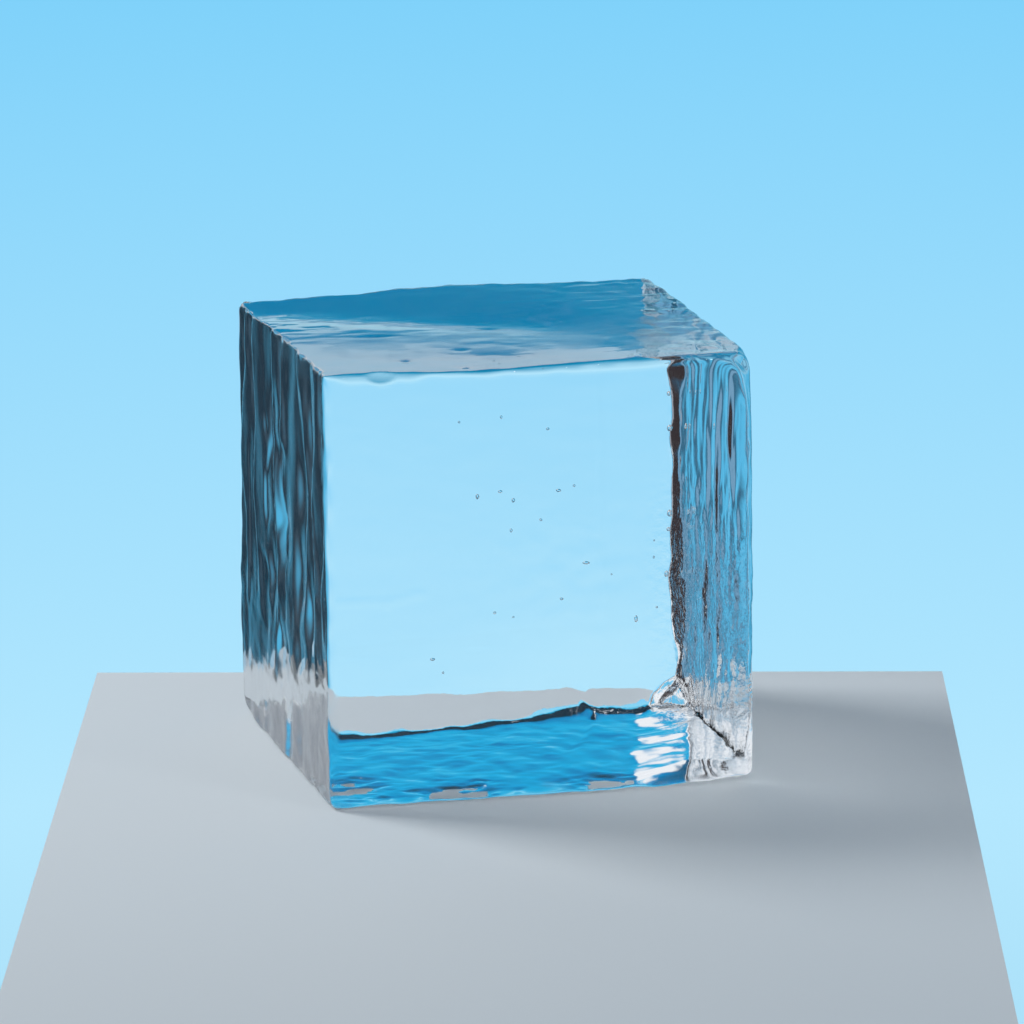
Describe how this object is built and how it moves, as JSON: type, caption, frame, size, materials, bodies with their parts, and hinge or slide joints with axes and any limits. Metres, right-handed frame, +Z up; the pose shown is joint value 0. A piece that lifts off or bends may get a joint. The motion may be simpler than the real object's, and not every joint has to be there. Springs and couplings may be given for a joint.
{
  "type": "ice cube",
  "caption": "Clear block of ice with softly melted edges, meltwater runnels down its sides and a fractured lower corner, resting on its flat base.",
  "frame": {"origin": "middle of the flat base", "axes": "+Z up; +Y from the front face to the back face; +X to the right, seen from the front"},
  "size_m": [0.0512, 0.0492, 0.0507],
  "materials": {
    "ice": "clear, wet and glossy"
  },
  "bodies": {
    "root": {"ice_cube": "ice"}
  },
  "joints": []
}
